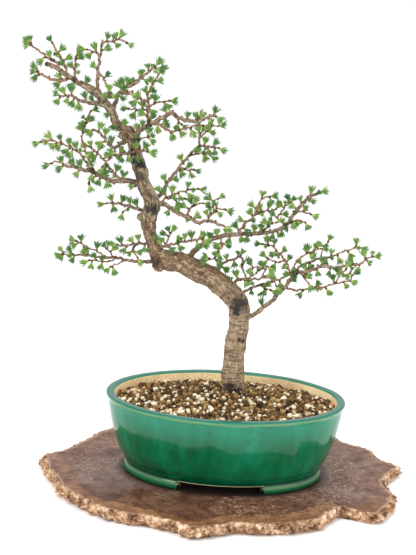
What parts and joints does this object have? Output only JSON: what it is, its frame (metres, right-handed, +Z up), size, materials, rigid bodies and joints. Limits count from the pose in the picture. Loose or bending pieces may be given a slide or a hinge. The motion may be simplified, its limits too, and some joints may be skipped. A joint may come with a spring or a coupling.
{
  "type": "larch bonsai in pot",
  "caption": "Larch bonsai with a bent, leaning trunk and tufted green sprays, in an oval green glazed pot on a live-edge burl slab.",
  "frame": {"origin": "on the underside of the display slab, below the pot's centre", "axes": "+Z up, +X along the pot's length to the viewer's right, +Y away from the viewer"},
  "size_m": [0.4121, 0.3074, 0.4671],
  "materials": {
    "burl_wood": "oiled burl, live edge",
    "green_glaze": "glossy green glaze",
    "black_mesh": "matte",
    "pumice_soil": "granular",
    "larch_bark": "flaky bark",
    "larch_spray": "fresh needles"
  },
  "bodies": {
    "root": {"display_slab": "burl_wood", "pot": "green_glaze", "drain_screen_left": "black_mesh", "drain_screen_right": "black_mesh", "soil": "pumice_soil", "larch_wood": "larch_bark", "spray_tip": "larch_spray", "spray_crown": "larch_spray", "spray_high_left": "larch_spray", "spray_high_right": "larch_spray", "spray_knee": "larch_spray", "spray_front": "larch_spray", "spray_left": "larch_spray", "spray_upper_left": "larch_spray", "spray_small_left": "larch_spray", "spray_leader_right": "larch_spray", "spray_mid_right": "larch_spray", "spray_back_right": "larch_spray", "spray_front_mid": "larch_spray", "spray_front_left": "larch_spray", "spray_low_left": "larch_spray", "spray_low_loop": "larch_spray", "spray_low_tangle": "larch_spray", "spray_low_middle": "larch_spray", "spray_low_right": "larch_spray"}
  },
  "joints": []
}
